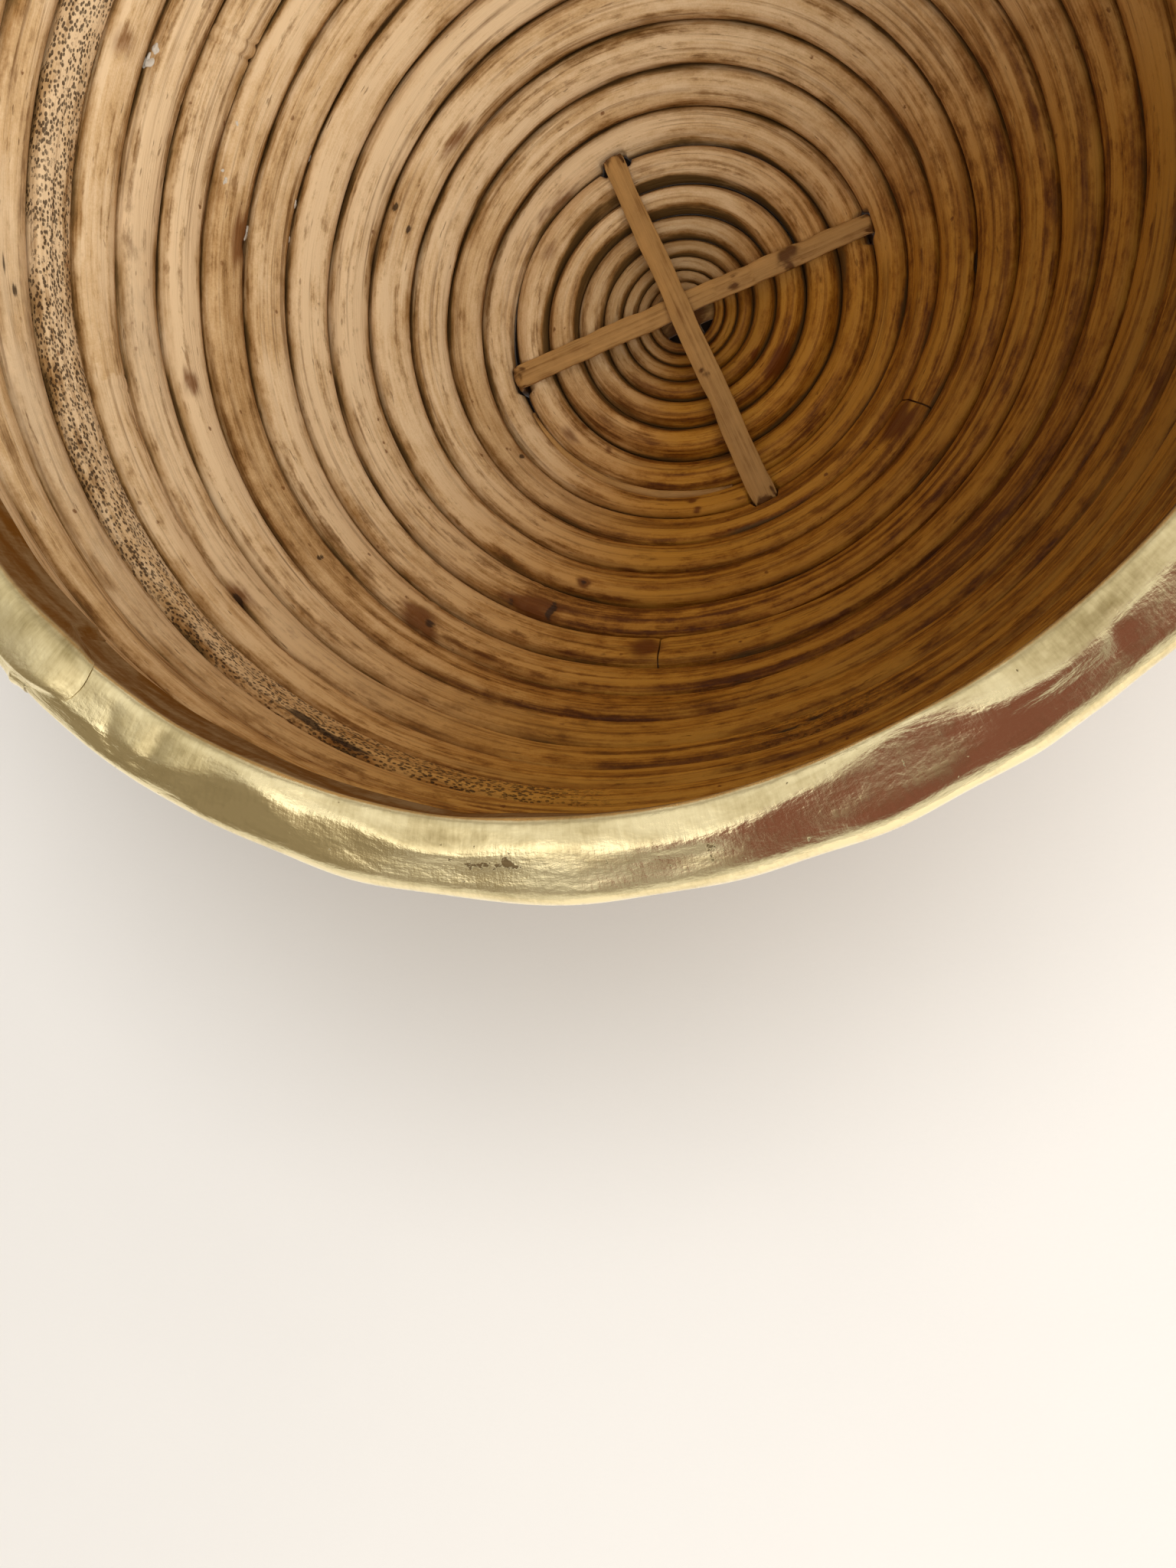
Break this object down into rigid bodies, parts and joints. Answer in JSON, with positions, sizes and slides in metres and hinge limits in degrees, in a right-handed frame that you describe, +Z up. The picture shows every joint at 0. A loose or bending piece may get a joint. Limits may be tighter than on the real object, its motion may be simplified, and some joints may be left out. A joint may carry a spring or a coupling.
{
  "type": "coiled rattan bowl",
  "caption": "Deep round bowl coiled from rattan pole, bound across the base with split cane and edged with a folded brass rim.",
  "frame": {"origin": "on the table, under the middle of the bowl", "axes": "+Z up out of the mouth, +X to the right of the picture, +Y to its top"},
  "size_m": [0.2406, 0.2406, 0.127],
  "materials": {
    "rattan": "dry, lightly polished, streaked with stain",
    "cane": "split, satin skin side up",
    "brass": "lightly hammered, aged"
  },
  "bodies": {
    "root": {"base_pole": "rattan", "lower_wall_pole": "rattan", "middle_wall_pole": "rattan", "upper_wall_pole": "rattan", "lower_cane_strip": "cane", "upper_cane_strip": "cane", "groove_cane": "cane", "brass_rim": "brass"}
  },
  "joints": []
}
